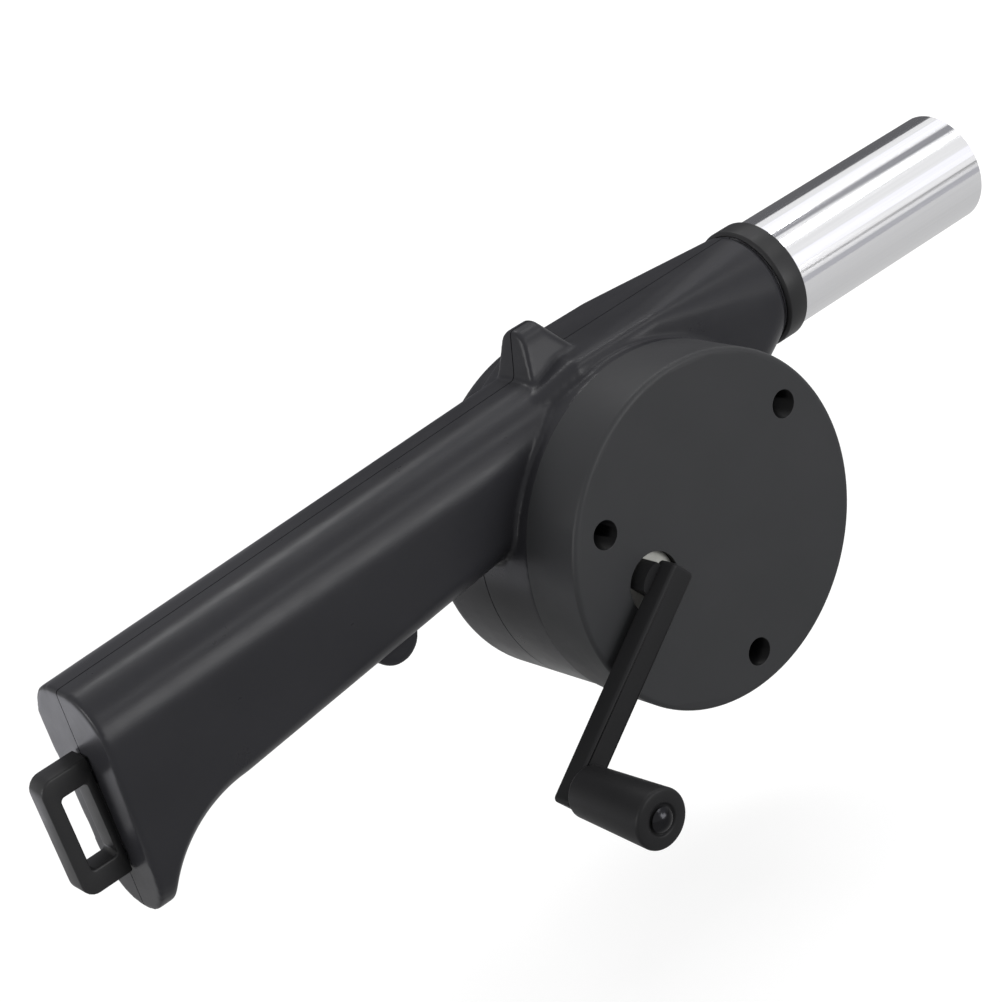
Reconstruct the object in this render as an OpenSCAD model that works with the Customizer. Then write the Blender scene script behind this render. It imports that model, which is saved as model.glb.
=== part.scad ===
// Hand crank blower: two moulded casing halves, a gear box under a round cover, a centrifugal fan and a steel nozzle.
// The origin is the centre of the nozzle mouth. X points out of the nozzle, -Y is the crank side and Z is up.

/* [Drum] */
// Outer radius of the gear cover and of the drum's back
drum_r = 41; // [40:0.5:46]
// Step in from the gear cover's rim to the casing at their joint
joint_step = 0.4; // [0.2:0.05:0.8]
// Distance from the parting plane to the gear cover's joint
chamber_front = 17.5; // [16.5:0.5:22]
// Distance from the parting plane to the back of the drum
chamber_back = 20; // [18:0.5:22]
// Radius of the drum's rounded back edge
back_edge_r = 3.5; // [2.5:0.5:5]
// Wall thickness of the casing halves
wall = 2.2; // [1.8:0.1:2.6]

/* [Gear cover] */
// Depth of the gear cover from its joint to its face
cover_depth = 16.5; // [16:0.5:22]
// Thickness of the cover's face and rim
cover_wall = 2.2; // [1.8:0.1:2.4]
// Radius of the rounded edge of the cover's face
cover_edge_r = 2; // [1:0.1:2.1]
// Distance of the cover screws from the drum's rim
screw_inset = 8.3; // [7.5:0.1:9]
// Direction of the first cover screw, above the nozzle's direction
screw_first_angle = 32.5; // [30:0.5:36]
// Radius of the deep holes that the cover screws sit in
screw_hole_r = 3.3; // [3:0.1:3.5]
// Wall of the tubes round the cover screws
screw_tube_wall = 1; // [0.8:0.1:1.2]
// Depth of the screw heads' seat below the cover's face
screw_seat_depth = 9; // [7:0.5:9.5]

/* [Handle] */
// Distance of the handle's end face behind the drum's axis, at its top
handle_end = 143; // [128:0.5:160]
// Lean of the handle's end face, its foot being further back
end_lean = 1; // [0:0.2:3]
// Width of the handle at its widest
handle_w = 29.4; // [28:0.2:31]
// Height of the handle's top line over the drum's axis
handle_top = 42.3; // [41.8:0.1:44]
// Fall of the handle's top line towards its end
handle_top_slope = 2.4; // [2:0.2:3.2]
// Height at which the handle's lower line passes the drum's axis
handle_bottom = 13.7; // [11:0.1:15]
// Fall of the handle's lower line towards its end
handle_bottom_slope = 6.5; // [5:0.25:7.5]
// Rounding of the handle's top edges
handle_edge_r = 11.8; // [10:0.2:12.6]
// Slope at which the handle's sides draw in towards its lower edges
side_taper = 5; // [4:0.5:6]
// Height of the handle's eased lower edges
handle_low_edge = 9; // [7:0.5:10]
// Length of the flared foot along the handle
foot_len = 25; // [22:0.5:30]
// Depth of the flared foot below the drum's axis
foot_depth = 16.6; // [15:0.2:19]
// Radius of the foot's rounded tip
foot_tip_r = 2.8; // [2.2:0.1:3.6]
// Rounding of the foot's two lower corners, seen from behind
foot_corner_r = 8; // [6:0.5:9]
// Distance of the finger stop behind the drum's axis
stop_x = 70; // [60:0.5:80]
// Radius of the finger stop
stop_r = 6.3; // [5:0.1:7]
// Depth of the finger stop below the handle's lower line
stop_drop = 5.4; // [4:0.1:6]
// Width of the finger stop
stop_w = 12; // [8:0.5:16]

/* [Thumb ridge] */
// Distance of the ridge's back behind the drum's axis, at its foot
ridge_back = 17.6; // [16:0.2:20]
// Length of the ridge at its foot
ridge_len = 19.5; // [18:0.5:24]
// Height of the ridge over the handle's top line
ridge_h = 10.6; // [9:0.2:12]
// Width of the ridge at its foot
ridge_w = 15; // [12:0.5:17]
// Width of the ridge's rounded top
ridge_top_w = 9.4; // [7:0.2:11]
// Length of the ridge's top
ridge_top_len = 6; // [4:0.5:8]
// Slope of the ridge's back face, from its foot to its top
ridge_rake = 4; // [3:0.5:6]

/* [Outlet duct and nozzle] */
// Height of the nozzle's axis over the drum's axis
nozzle_rise = 30; // [29:0.25:31]
// Distance from the drum's axis to the duct's end
duct_end = 52; // [50:0.5:60]
// Step from the nozzle tube's outside up to the duct's end
duct_end_step = 0.5; // [0.3:0.1:1]
// Width of the duct where it leaves the drum
duct_w = 27.6; // [26:0.2:28.4]
// Height of the duct's top over the drum's axis, where it leaves the drum
duct_top = 43.6; // [42.6:0.1:44.4]
// Length of the ramp by which the duct's rear corners rise out of the handle
duct_ramp = 16; // [12:0.5:18]
// Length of the duct's square part in front of the drum's axis
duct_square = 16; // [8:0.5:22]
// Outer radius of the steel nozzle tube
tube_r = 14; // [13.8:0.1:14.2]
// Wall of the nozzle tube
tube_wall = 0.6; // [0.5:0.05:0.8]
// Length of the nozzle tube in front of the collar
tube_free = 64.5; // [40:0.5:90]
// Length of the moulded spigot inside the tube
spigot_len = 17; // [14:0.5:20]
// Wall of the spigot
spigot_wall = 2; // [1.6:0.1:2.4]
// Length of the collar
collar_len = 6.6; // [5:0.2:9]
// Thickness of the collar round the nozzle tube
collar_wall = 1.1; // [0.9:0.1:2]
// Gap between the duct's end and the collar
collar_gap = 0.9; // [0.6:0.1:1.4]

/* [Hanging loop] */
// Height of the hanging loop's middle over the drum's axis
loop_z = 7.8; // [6:0.2:11]
// Height of the loop
loop_h = 28; // [26:0.2:30]
// Reach of the loop behind the handle's end at its own height
loop_reach = 11.9; // [11:0.1:16]
// Thickness of the loop
loop_t = 6; // [4:0.5:7]
// Width of the loop's upper and lower bars
loop_bar = 5.2; // [4:0.1:6]
// Width of the loop's outer bar
loop_outer_bar = 3.4; // [2.8:0.1:4]
// Length of the slot in the loop, along the handle
loop_slot = 6.4; // [5:0.1:8]
// Gap between the loop and the handle's end face
loop_end_gap = 0.3; // [0.2:0.05:0.6]
// Height of the loop's tongue in the handle's end
tongue_h = 15; // [12:0.5:18]
// Thickness of the foot on the tongue, trapped inside the handle
tongue_foot_t = 2.4; // [2:0.1:3]
// Size of the loop's clipped corners
loop_corner = 3; // [2:0.5:4]

/* [Crank] */
// Distance of the crank's axis behind the drum's axis
crank_back = 20.4; // [20:0.1:21]
// Distance of the crank's axis below the drum's axis
crank_drop = 1.7; // [1:0.1:2.4]
// Throw of the crank, from its axis to the knob's axis
crank_throw = 47.5; // [42:0.5:60]
// Direction of the crank arm at rest, turned up from the nozzle's direction
crank_angle = 217; // [0:0.5:359.5]
// Width of the crank arm
arm_w = 6.6; // [6:0.1:9]
// Thickness of the crank arm
arm_t = 4.8; // [3.5:0.1:6]
// Gap between the cover's face and the crank arm
arm_gap = 2.2; // [0.8:0.1:3]
// Length of the crank arm past the crank's axis and past the knob's axis
arm_over = 4.8; // [3.8:0.1:5.4]
// Rounding of the crank arm's corners
arm_corner_r = 1.2; // [0.6:0.1:2]
// Radius of the crank shaft's rounded sides
shaft_r = 5.8; // [5.2:0.1:5.9]
// Distance between the crank shaft's two flats, along the arm
shaft_flats = 7; // [6:0.1:7.6]
// Length of the knob
knob_len = 24; // [20:0.5:32]
// Radius of the knob at its outer end
knob_end_r = 6.8; // [6:0.1:9]
// Radius of the knob at the arm
knob_arm_r = 5.9; // [5:0.1:7]
// Radius of the knob's pin
knob_pin_r = 2; // [1.6:0.1:2.4]
// Radius of the knob pin's domed head
knob_head_r = 2.9; // [2.8:0.1:3.6]
// Height of the knob pin's domed head
knob_head_h = 1.3; // [1:0.1:1.6]

/* [Gear train] */
// Module of the gears
gear_module = 0.8; // [0.78:0.01:0.82]
// Teeth of the gear on the crank
crank_teeth = 32; // [31:1:33]
// Teeth of the idler's small gear
idler_pinion_teeth = 12; // [11:1:13]
// Teeth of the idler's large gear
idler_wheel_teeth = 33; // [32:1:34]
// Teeth of the fan shaft's pinion
fan_pinion_teeth = 11; // [10:1:12]
// Pressure angle of the teeth
pressure_angle = 25; // [22.5:0.5:26]
// Thinning of each tooth, for play between the gears
tooth_play = 0.16; // [0.1:0.02:0.24]
// Width of the crank gear's teeth
crank_gear_t = 3.2; // [2.6:0.1:3.4]
// Width of the idler wheel's teeth
wheel_t = 3; // [2.4:0.1:3.2]
// Radius of the crank gear's hub, which turns in the cover's hole
hub_r = 6.95; // [6.5:0.05:7.2]
// Radius of the crank gear's rear journal
journal_r = 2.45; // [2:0.05:2.8]
// Radius of the idler's steel pin
idler_pin_r = 1.5; // [1.2:0.05:1.8]
// Thickness of the gear plate
plate_t = 3; // [2.4:0.1:3.2]

/* [Fan] */
// Radius of the fan's blades at their tips
fan_r = 27.5; // [24:0.5:28]
// Radius at which the blades start
blade_start_r = 11; // [9:0.5:14]
// Number of blades
blade_count = 10; // [6:1:14]
// Thickness of the blades
blade_t = 1.6; // [1.2:0.1:2.2]
// Radius of the blades' curve
blade_curve_r = 17; // [15:0.5:22]
// Thickness of the fan's disc
disc_t = 1.6; // [1.2:0.1:2.2]
// Gap between the fan's disc and the gear plate
disc_gap = 3.6; // [3:0.1:4.5]
// Gap between the blades and the drum's back wall
blade_gap = 4; // [3:0.1:6]
// Radius of the fan's hub
fan_hub_r = 6; // [5:0.1:7]
// Radius of the fan's steel shaft
fan_shaft_r = 2; // [1.6:0.1:2.4]
// Length of the fan shaft's rear bush
rear_bush_len = 4.4; // [3.6:0.1:5]
// Wall of the shaft's bushes
bush_wall = 2; // [1.4:0.1:2.4]
// Number of air intake slots in the drum's back
slot_count = 14; // [8:1:18]
// Width of the air intake slots
slot_w = 3.2; // [2.4:0.1:4]
// Inner end of the air intake slots, from the drum's axis
slot_inner = 12; // [11:0.5:14]
// Outer end of the air intake slots, from the drum's axis
slot_outer = 26; // [22:0.5:30]

/* [Fasteners and clearances] */
// Radius of the screws' shanks
screw_r = 1.5; // [1.3:0.05:1.7]
// Radius of the screws' heads
screw_head_r = 2.75; // [2.5:0.05:2.9]
// Thickness of the screws' heads
screw_head_t = 2; // [1.6:0.1:2.4]
// Length of the cover screws under the head
cover_screw_len = 20; // [18:0.5:21]
// Length of the casing screws under the head
shell_screw_len = 12; // [10:0.5:13]
// Distance of the rear casing screw from the handle's end
shell_screw_inset = 12; // [10:0.5:15]
// Distance between the casing screws along the handle
shell_screw_pitch = 37.5; // [34:0.5:39]
// Height of the casing screws over the middle of the handle
shell_screw_rise = 5; // [3:0.5:6]
// Depth of the casing screws' seats, from the parting plane
shell_screw_seat_y = 6.4; // [5.5:0.1:7]
// Radius of the bosses round the screws
boss_r = 3.4; // [3.2:0.1:3.8]
// Thickness of the webs that join the cover screws' bosses to the drum's wall
web_t = 2; // [1.6:0.1:2.4]
// Running clearance between a shaft and its hole, on the radius
run_gap = 0.05; // [0.03:0.01:0.08]
// Clearance between pieces that are fitted together and don't turn
fit_gap = 0.04; // [0.02:0.01:0.08]
// Side gap between turning pieces
side_gap = 0.4; // [0.3:0.05:0.6]

/* [Hidden] */
$fn = 96;
eps = 0.01;
far = 400;
hull_fn = 32;
// The drum's axis, in the frame of the nozzle mouth
collar_x = duct_end + collar_gap;
collar_r = tube_r + collar_wall;
duct_end_r = tube_r + duct_end_step;
tube_start = collar_x;
tube_end = collar_x + collar_len + tube_free;
drum_x = -tube_end;
drum_z = -nozzle_rise;
// Depths along Y, counted from the parting plane and negative on the crank side
joint_y = -chamber_front;
face_y = joint_y - cover_depth;
inner_face_y = face_y + cover_wall;
plate_front_y = joint_y - plate_t;
seat_y = face_y + screw_seat_depth;
tube_foot_y = seat_y + cover_wall;
screw_hole_end_y = seat_y + cover_screw_len + 0.5;
boss_end_y = screw_hole_end_y + 1;
back_inner_y = chamber_back - wall;
drum_front_r = drum_r - joint_step;
drum_inner_r = drum_front_r - wall;
screw_circle_r = drum_r - screw_inset;
flange_r = screw_circle_r + boss_r / 2;
// Levels of the gears
hub_front_y = face_y + 1.7;
boss_back_y = inner_face_y + 2;
crank_gear_y = boss_back_y + side_gap;
crank_gear_back_y = crank_gear_y + crank_gear_t;
wheel_y = crank_gear_back_y + 2 * side_gap;
wheel_back_y = wheel_y + wheel_t;
// Centres of the gears about the drum's axis, in X and Z
crank_at = [-crank_back, -crank_drop];
first_distance = gear_module * (crank_teeth + idler_pinion_teeth) / 2;
second_distance = gear_module * (idler_wheel_teeth + fan_pinion_teeth) / 2;
crank_distance = norm(crank_at);
along = (first_distance ^ 2 - second_distance ^ 2 + crank_distance ^ 2) / (2 * crank_distance);
aside = sqrt(first_distance ^ 2 - along ^ 2);
to_fan = -crank_at / crank_distance;
idler_at = crank_at + along * to_fan + aside * [to_fan[1], -to_fan[0]];
mesh_angle_1 = atan2(idler_at[1] - crank_at[1], idler_at[0] - crank_at[0]);
mesh_angle_2 = atan2(-idler_at[1], -idler_at[0]);
// The knob's place
knob_at = crank_at + crank_throw * [cos(crank_angle), sin(crank_angle)];
arm_back_y = face_y - arm_gap;
arm_front_y = arm_back_y - arm_t;
// Height by which the crank shaft's root wraps the arm's sides
arm_lap = 0.8;
knob_back_y = arm_front_y - side_gap;
knob_front_y = knob_back_y - knob_len;
// The fan's levels
plate_bush_front_y = plate_front_y - 0.6;
plate_bush_back_y = joint_y + 1.4;
washer_t = 0.5;
fan_front_y = plate_bush_back_y + washer_t + side_gap / 2;
disc_y = joint_y + disc_gap;
blade_back_y = back_inner_y - blade_gap;
rear_bush_front_y = back_inner_y - rear_bush_len;
fan_back_y = rear_bush_front_y - washer_t - side_gap / 2;
bush_r = fan_shaft_r + bush_wall;
bush_boss_r = bush_r + 2.4;
fan_pinion_y = wheel_y - side_gap;
fan_pinion_back_y = plate_bush_front_y - side_gap;
// The handle's lines
top_rise = tan(handle_top_slope);
bottom_rise = tan(handle_bottom_slope);
foot_start = handle_end - foot_len;
handle_front = 5;
// Laps by which the casing's forms run into each other, and the reach of the cuts past its outside
hollow_gap = 4;
ridge_sink = 9;
ridge_base = 5;
duct_lap = 3;
// How far the duct's ramp draws in and drops at its low end, inside the handle
ramp_in = 3.8;
ramp_drop = 5;
spigot_lap = 4;
cut_over = 4;
section_depth = (top_z(end_x(-foot_depth)) + foot_depth) * cos(handle_top_slope);
handle_floor = 1.4 * wall;
handle_low_w = handle_w - 1.8;
// The hollow under the foot: a circle that just cuts the handle's lower line and reaches the foot's tip
hollow_bite = 0.15;
foot_tangent = [-foot_start, bottom_z(-foot_start)];
foot_tip = [end_x(-foot_depth) + foot_tip_r, -foot_depth + foot_tip_r];
foot_point = [foot_tip[0] + 0.8 * foot_tip_r, foot_tip[1]];
foot_across = foot_tangent - foot_point;
line_down = [sin(handle_bottom_slope), -cos(handle_bottom_slope)];
hollow_r = -(foot_across * foot_across) / (2 * (foot_across * line_down));
hollow_at = foot_tangent + (hollow_r - hollow_bite) * line_down;
screw_angles = [for (i = [0 : 2]) screw_first_angle + 120 * i];
// Casing screws sit in the handle, entering from the far side, in bosses that end within its walls
shell_boss_y = handle_w / 2 - wall + 0.3;
shell_screw_xs = [for (i = [0 : 2]) shell_screw_inset - handle_end + i * shell_screw_pitch];
shell_screws_at = [for (x = shell_screw_xs) [x, (top_z(x) + bottom_z(x)) / 2 + shell_screw_rise]];

function top_z(x) = handle_top + top_rise * x;
function bottom_z(x) = handle_bottom + bottom_rise * x;
function end_x(z) = -handle_end - (top_z(-handle_end) - z) * tan(end_lean);

// Flank of an involute tooth: the point at which the involute of a base circle reaches radius r
function involute_angle(base, r) = let (a = acos(min(1, base / r))) tan(a) * 180 / PI - a;
function tooth_half_angle(teeth, r) =
    let (pitch = gear_module * teeth / 2, base = pitch * cos(pressure_angle))
    90 / teeth - tooth_play / (2 * pitch) * 180 / PI
    + involute_angle(base, pitch) - involute_angle(base, max(r, base));
function tip_r(teeth) = gear_module * (teeth / 2 + 0.8);
function root_r(teeth) = gear_module * (teeth / 2 - 1.1);
function polar(r, a) = [r * cos(a), r * sin(a)];

// Places children on the drum's axis
module at_drum() translate([drum_x, 0, drum_z]) children();

// Draws an outline given in X and Z through the depth from y0 to y1
module through(y0, y1) translate([0, y1, 0]) rotate([90, 0, 0]) linear_extrude(y1 - y0) children();

// A round piece along Y from y0 to y1, centred at [x, z]
module rod(at, r, y0, y1) translate([at[0], y1, at[1]]) rotate([90, 0, 0]) cylinder(r = r, h = y1 - y0);

// A turned piece along Y whose outline is given as [radius, y]
module turned() rotate([90, 0, 0]) rotate_extrude() mirror([0, 1]) children();

module gear_outline(teeth, tooth_angle) {
    steps = 5;
    r0 = root_r(teeth);
    r1 = tip_r(teeth);
    polygon([
        for (i = [0 : teeth - 1])
            let (mid = tooth_angle + 360 * i / teeth)
            for (side = [-1, 1], k = [0 : steps])
                let (s = side < 0 ? k / steps : 1 - k / steps, r = r0 + (r1 - r0) * s)
                polar(r, mid + side * tooth_half_angle(teeth, r))
    ]);
}

// Half of space on the crank side or on the far side of the parting plane
module crank_side() translate([-far, -far, -far]) cube([2 * far, far, 2 * far]);
module far_side() translate([-far, 0, -far]) cube([2 * far, far, 2 * far]);

// The drum's outside: a slight taper and a rounded back edge
module drum_outside() turned() {
    shoulder_y = chamber_back - back_edge_r;
    edge_at = [drum_r - back_edge_r, shoulder_y];
    polygon([
        [0, joint_y], [drum_front_r, joint_y], [drum_r, shoulder_y], [edge_at[0], chamber_back], [0, chamber_back]
    ]);
    intersection() {
        translate(edge_at) circle(back_edge_r);
        translate(edge_at) square(back_edge_r + 1);
    }
}

module drum_inside() rod([0, 0], drum_inner_r, joint_y - 1, back_inner_y);

// The handle seen from the side, with its flared foot
module handle_outline() {
    difference() {
        polygon([
            [end_x(top_z(-handle_end)), top_z(-handle_end)],
            [-handle_front, top_z(-handle_front)],
            [-handle_front, bottom_z(-handle_front)],
            foot_tangent,
            foot_point,
            [foot_tip[0] - foot_tip_r, foot_tip[1]]
        ]);
        translate(hollow_at) circle(hollow_r, $fn = 240);
    }
    translate(foot_tip) circle(foot_tip_r);
}

// The handle's section, run along its top line: an arched top, sides that draw in and the foot's rounded corners
module handle_section(inset) {
    edge_r = handle_edge_r - inset;
    edge_y = handle_w / 2 - handle_edge_r;
    side_y = edge_y + 0.985 * edge_r;
    corner_z = section_depth - foot_corner_r;
    low_y = side_y - (corner_z - handle_edge_r) * tan(side_taper);
    corner_y = low_y - 0.985 * foot_corner_r;
    translate([0, 0, handle_top]) rotate([0, -handle_top_slope, 0]) rotate([90, 0, -90])
        translate([0, 0, -far / 2]) linear_extrude(far) {
            polygon([
                [-edge_y, -inset], [edge_y, -inset], [side_y, -handle_edge_r], [low_y, -corner_z],
                [corner_y, -section_depth], [-corner_y, -section_depth], [-low_y, -corner_z], [-side_y, -handle_edge_r]
            ]);
            for (side = [-1, 1]) {
                translate([side * edge_y, -handle_edge_r]) circle(edge_r);
                translate([side * corner_y, -corner_z]) circle(foot_corner_r);
            }
        }
}

// What is taken off to ease the two lower edges, drawn as [height over the lower line, y]
module lower_edge_cut() for (side = [0, 1])
    mirror([0, side]) polygon([
        [-cut_over, handle_low_w / 2 - handle_low_edge],
        [0, handle_low_w / 2 - handle_low_edge],
        [handle_low_edge * (1 - cos(45)), handle_low_w / 2 - handle_low_edge * (1 - sin(45))],
        [handle_low_edge, handle_low_w / 2],
        [handle_low_edge, handle_w],
        [-cut_over, handle_w]
    ]);

// The two eased edges along the handle's lower line, raised by some amount, from the distance given to the drum
module lower_edges(rise, back) translate([-back, 0, bottom_z(-back) + rise])
    rotate([0, -handle_bottom_slope, 0]) rotate([0, 90, 0]) linear_extrude(back) mirror([1, 0]) lower_edge_cut();

module handle_outside() {
    difference() {
        intersection() {
            through(-far / 4, far / 4) handle_outline();
            handle_section(0);
        }
        lower_edges(0, foot_start);
        translate([hollow_at[0], 0, hollow_at[1]]) turned() translate([hollow_r, 0]) lower_edge_cut();
    }
    rod([-stop_x, bottom_z(-stop_x) + stop_r - stop_drop], stop_r, -stop_w / 2, stop_w / 2);
}

module handle_inside() {
    back = -handle_end + wall;
    front = -drum_r - hollow_gap;
    difference() {
        intersection() {
            handle_section(wall);
            through(-far / 4, far / 4) polygon([
                [back, top_z(back)],
                [front, top_z(front)],
                [front, bottom_z(front) + handle_floor],
                [back, bottom_z(back) + handle_floor]
            ]);
        }
        lower_edges(handle_floor, handle_end);
    }
}

// The ridge at the top, where the handle meets the duct
module thumb_ridge() {
    foot_z = top_z(-ridge_back) - ridge_sink;
    top = top_z(-ridge_back) + ridge_h;
    tip_r = ridge_top_w / 2;
    hull() {
        translate([-ridge_back, -ridge_w / 2, foot_z]) cube([ridge_len, ridge_w, ridge_base]);
        translate([-ridge_back + ridge_rake, 0, top - tip_r]) rotate([0, 90, 0])
            cylinder(r = tip_r, h = ridge_top_len, $fn = hull_fn);
    }
}

// The duct from the drum to the collar: nearly square at the drum, round at its end
module duct_form(square_w, top, end_r, end_at, ramp) {
    corner = 3;
    start_x = -handle_front - duct_lap;
    start_len = duct_square - start_x;
    hull() {
        translate([start_x, -square_w / 2, 0]) cube([start_len, square_w, top - corner]);
        for (side = [-1, 1]) {
            translate([start_x, side * (square_w / 2 - corner), top - corner])
                rotate([0, 90, 0]) cylinder(r = corner, h = start_len, $fn = hull_fn);
            if (ramp > 0)
                translate([start_x - ramp, side * (square_w / 2 - corner - ramp_in), top - corner - ramp_drop])
                    rotate([0, 90, 0]) cylinder(r = corner, h = 1, $fn = hull_fn);
        }
        translate([end_at - 1, 0, nozzle_rise]) rotate([0, 90, 0]) cylinder(r = end_r, h = 1, $fn = 64);
    }
}

module duct_outside() {
    duct_form(duct_w, duct_top, duct_end_r, duct_end, duct_ramp);
    translate([duct_end - spigot_lap, 0, nozzle_rise]) rotate([0, 90, 0])
        cylinder(r = tube_r - tube_wall - fit_gap, h = spigot_lap + collar_gap + spigot_len);
}

module duct_inside() {
    bore_r = tube_r - tube_wall - fit_gap - spigot_wall;
    duct_form(duct_w - 2 * wall, duct_top - wall, duct_end_r - wall, duct_end - duct_lap, 0);
    translate([duct_end - 2 * spigot_lap, 0, nozzle_rise]) rotate([0, 90, 0]) cylinder(r = bore_r, h = far);
}

module casing_outside() {
    drum_outside();
    handle_outside();
    thumb_ridge();
    duct_outside();
}

module casing_inside() {
    drum_inside();
    handle_inside();
    duct_inside();
}

// The slot in the handle's end for the loop's tongue, and the pocket inside for the tongue's foot
module loop_slot_cut() {
    slot_h = tongue_h + 2 * fit_gap;
    pocket_h = slot_h + 2 * tongue_foot_t;
    translate([-handle_end - far / 4, -loop_t / 2 - fit_gap, loop_z - slot_h / 2])
        cube([far / 4 + 2 * wall, loop_t + 2 * fit_gap, slot_h]);
    translate([-handle_end + wall, -loop_t / 2 - fit_gap, loop_z - pocket_h / 2])
        cube([tongue_foot_t + 2 * fit_gap, loop_t + 2 * fit_gap, pocket_h]);
}

// Crank side of the casing: half the handle and duct, the fan chamber's wall and the gear plate's flange
module right_shell() color("#2c2c2e") at_drum() {
    difference() {
        union() {
            intersection() {
                difference() {
                    casing_outside();
                    casing_inside();
                }
                crank_side();
            }
            difference() {
                rod([0, 0], drum_inner_r + wall / 2, joint_y, joint_y + wall);
                rod([0, 0], flange_r, joint_y - 1, joint_y + wall + 1);
            }
            for (a = screw_angles) {
                rod(polar(screw_circle_r, a), boss_r, joint_y, boss_end_y);
                through(joint_y, boss_end_y) rotate(a)
                    translate([screw_circle_r, -web_t / 2]) square([drum_inner_r + wall / 2 - screw_circle_r, web_t]);
            }
            for (at = shell_screws_at)
                rod(at, boss_r, -shell_boss_y, -fit_gap);
        }
        for (a = screw_angles)
            rod(polar(screw_circle_r, a), screw_r + fit_gap, joint_y - 1, screw_hole_end_y);
        for (at = shell_screws_at)
            rod(at, screw_r + fit_gap, shell_screw_seat_y - shell_screw_len - 0.5, 1);
        loop_slot_cut();
    }
}

// Far side of the casing, with the air intake slots and the fan shaft's rear seat
module left_shell() color("#2c2c2e") at_drum() difference() {
    union() {
        intersection() {
            difference() {
                casing_outside();
                casing_inside();
            }
            far_side();
        }
        rod([0, 0], bush_boss_r, rear_bush_front_y, chamber_back - wall / 2);
        for (at = shell_screws_at)
            rod(at, boss_r, fit_gap, shell_boss_y);
    }
    rod([0, 0], bush_r + fit_gap, rear_bush_front_y - 1, back_inner_y);
    for (i = [0 : slot_count - 1])
        through(back_inner_y - 1, chamber_back + 1) rotate(360 * i / slot_count) {
            translate([slot_inner, -slot_w / 2]) square([slot_outer - slot_inner, slot_w]);
            translate([slot_outer, 0]) circle(slot_w / 2);
            translate([slot_inner, 0]) circle(slot_w / 2);
        }
    for (at = shell_screws_at) {
        rod(at, screw_r + run_gap, -1, handle_w);
        rod(at, screw_head_r + run_gap, shell_screw_seat_y, handle_w);
    }
    loop_slot_cut();
}

// Round cup over the gears, with deep holes for its screws and a hole for the crank
module gear_cover() color("#3a3a3c") at_drum() difference() {
    union() {
        difference() {
            turned() {
                polygon([[0, face_y], [drum_r - cover_edge_r, face_y], [drum_r - cover_edge_r, joint_y], [0, joint_y]]);
                translate([0, face_y + cover_edge_r]) square([drum_r, cover_depth - cover_edge_r]);
                translate([drum_r - cover_edge_r, face_y + cover_edge_r]) circle(cover_edge_r);
            }
            rod([0, 0], drum_r - cover_wall, inner_face_y, joint_y + 1);
        }
        for (a = screw_angles)
            rod(polar(screw_circle_r, a), screw_hole_r + screw_tube_wall, face_y + 0.5, tube_foot_y);
        rod(crank_at, hub_r + run_gap + 2, face_y + 0.5, boss_back_y);
        rod(idler_at, idler_pin_r + fit_gap + 1.8, face_y + 0.5, boss_back_y);
    }
    for (a = screw_angles) {
        rod(polar(screw_circle_r, a), screw_hole_r, face_y - 1, seat_y);
        rod(polar(screw_circle_r, a), screw_r + run_gap, seat_y - 1, tube_foot_y + 1);
    }
    rod(crank_at, hub_r + run_gap, face_y - 1, boss_back_y + 1);
    rod(idler_at, idler_pin_r + fit_gap, inner_face_y, boss_back_y + 1);
}

// Partition between the gears and the fan, which carries the gears' pins and the fan's front bush
module gear_plate() color("#d9d9d4") at_drum() difference() {
    union() {
        rod([0, 0], drum_r - cover_wall - 2 * fit_gap, plate_front_y, joint_y);
        for (a = screw_angles)
            rod(polar(screw_circle_r, a), screw_hole_r + screw_tube_wall, tube_foot_y, plate_front_y + eps);
        rod(idler_at, idler_pin_r + 1.6, wheel_back_y + side_gap, plate_front_y + eps);
        rod(crank_at, journal_r + 1.6, wheel_back_y + side_gap, plate_front_y + eps);
    }
    for (a = screw_angles)
        rod(polar(screw_circle_r, a), screw_r + run_gap, tube_foot_y - 1, joint_y + 1);
    rod(idler_at, idler_pin_r + fit_gap, wheel_back_y - 1, joint_y + 1);
    rod(crank_at, journal_r + run_gap, wheel_back_y - 1, joint_y + 1);
    rod([0, 0], bush_r + fit_gap, plate_front_y - 1, joint_y + 1);
}

// A round-headed screw whose head sits at y, pointing to +Y when way is 1 and to -Y when way is -1
module screw(at, y, length, way) {
    socket_r = 1.2;
    difference() {
        union() {
            rod(at, screw_r, min(y, y + way * length), max(y, y + way * length));
            rod(at, screw_head_r, min(y, y - way * screw_head_t), max(y, y - way * screw_head_t));
        }
        translate([at[0], y - way * screw_head_t, at[1]]) {
            cube([2 * socket_r, 2.4, 0.6], center = true);
            cube([0.6, 2.4, 2 * socket_r], center = true);
        }
    }
}

module cover_screws() color("#8d8f92") at_drum() for (a = screw_angles)
    screw(polar(screw_circle_r, a), seat_y, cover_screw_len, 1);

module shell_screws() color("#8d8f92") at_drum() for (at = shell_screws_at)
    screw(at, shell_screw_seat_y, shell_screw_len, -1);

// Polished steel tube over the spigot, with a groove that keys the collar
module nozzle_tube() color("#d0d0d3") at_drum() translate([tube_start, 0, nozzle_rise]) rotate([0, 90, 0]) {
    groove_depth = tube_wall / 2;
    groove_len = 1.5;
    length = tube_end - tube_start;
    difference() {
        cylinder(r = tube_r, h = length);
        translate([0, 0, -1]) cylinder(r = tube_r - tube_wall, h = length + 2);
        translate([0, 0, collar_len - groove_len]) difference() {
            cylinder(r = tube_r + 1, h = groove_len);
            cylinder(r = tube_r - groove_depth, h = groove_len);
        }
    }
}

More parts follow.
